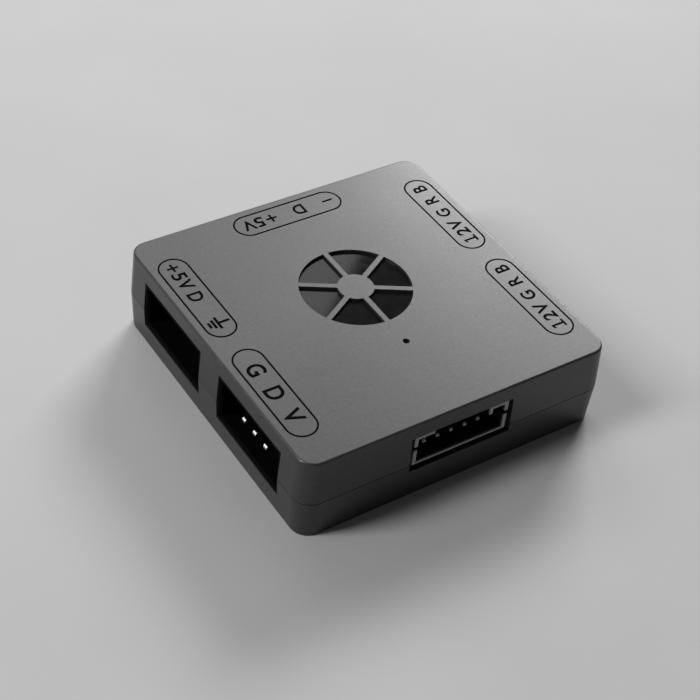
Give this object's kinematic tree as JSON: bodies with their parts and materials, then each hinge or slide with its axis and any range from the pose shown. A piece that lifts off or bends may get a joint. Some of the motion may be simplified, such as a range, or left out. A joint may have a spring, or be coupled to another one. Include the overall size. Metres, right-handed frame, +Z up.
{
  "type": "lighting hub",
  "caption": "Flat square hub in a two-part moulded case with plug sockets on its sides and a smoked window in its roof, for lighting strips and fans in a computer.",
  "frame": {"origin": "centre of the base", "axes": "+Z up out of the roof; -Y out of the side with the six-pin control socket; -X out of the side with the two digital-light sockets"},
  "size_m": [0.0452, 0.0452, 0.0122],
  "materials": {
    "case_plastic": "fine metallic satin",
    "smoked_plastic": "smoked gloss",
    "socket_plastic": "satin black",
    "control_plastic": "natural nylon",
    "pin_metal": "bright tin plate",
    "screw_steel": "black zinc",
    "board_laminate": "solder mask",
    "chip_epoxy": "moulded epoxy",
    "capacitor_ceramic": "fired",
    "resistor_ceramic": "glazed film",
    "light_white": "white moulding",
    "mark_ink": "printed ink"
  },
  "bodies": {
    "root": {"argb_input_pins": "pin_metal", "argb_input_socket": "socket_plastic", "argb_link_pins": "pin_metal", "argb_link_socket": "socket_plastic", "argb_output_pins": "pin_metal", "argb_output_socket": "socket_plastic", "bottom_cover": "case_plastic", "case_screws": "screw_steel", "circuit_board": "board_laminate", "control_pins": "pin_metal", "control_socket": "control_plastic", "controller_chip": "chip_epoxy", "controller_chip_legs": "pin_metal", "drive_transistors": "chip_epoxy", "emblem_lens": "smoked_plastic", "emblem_lights": "light_white", "filter_capacitors": "capacitor_ceramic", "regulator_legs": "pin_metal", "resistors": "resistor_ceramic", "rgb_front_pins": "pin_metal", "rgb_front_socket": "socket_plastic", "rgb_rear_pins": "pin_metal", "rgb_rear_socket": "socket_plastic", "status_light": "light_white", "top_cover": "case_plastic", "transistor_legs": "pin_metal", "voltage_regulator": "chip_epoxy"}
  },
  "joints": []
}
